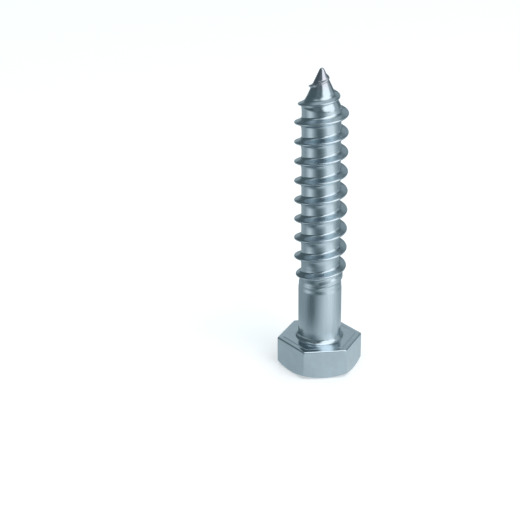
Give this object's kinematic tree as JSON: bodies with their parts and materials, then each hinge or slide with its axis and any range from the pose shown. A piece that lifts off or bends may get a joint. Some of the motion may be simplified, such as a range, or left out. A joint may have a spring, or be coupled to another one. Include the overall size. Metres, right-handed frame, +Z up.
{
  "type": "hex head wood screw",
  "caption": "Hex head wood screw standing on its head: chamfered hexagonal head, plain shank with an under-head fillet, coarse right-hand thread and a gimlet point.",
  "frame": {"origin": "centre of the head's flat outer face, on which the screw stands", "axes": "+Z up the screw's axis from the head to the point, +X through two opposite corners of the hexagon, +Y square to two opposite spanner flats"},
  "size_m": [0.016, 0.0138, 0.0569],
  "materials": {
    "zinc_plated_steel": "bright zinc plating over rolled and cold headed steel, satin to semi-gloss"
  },
  "bodies": {
    "root": {"lag_screw": "zinc_plated_steel"}
  },
  "joints": []
}
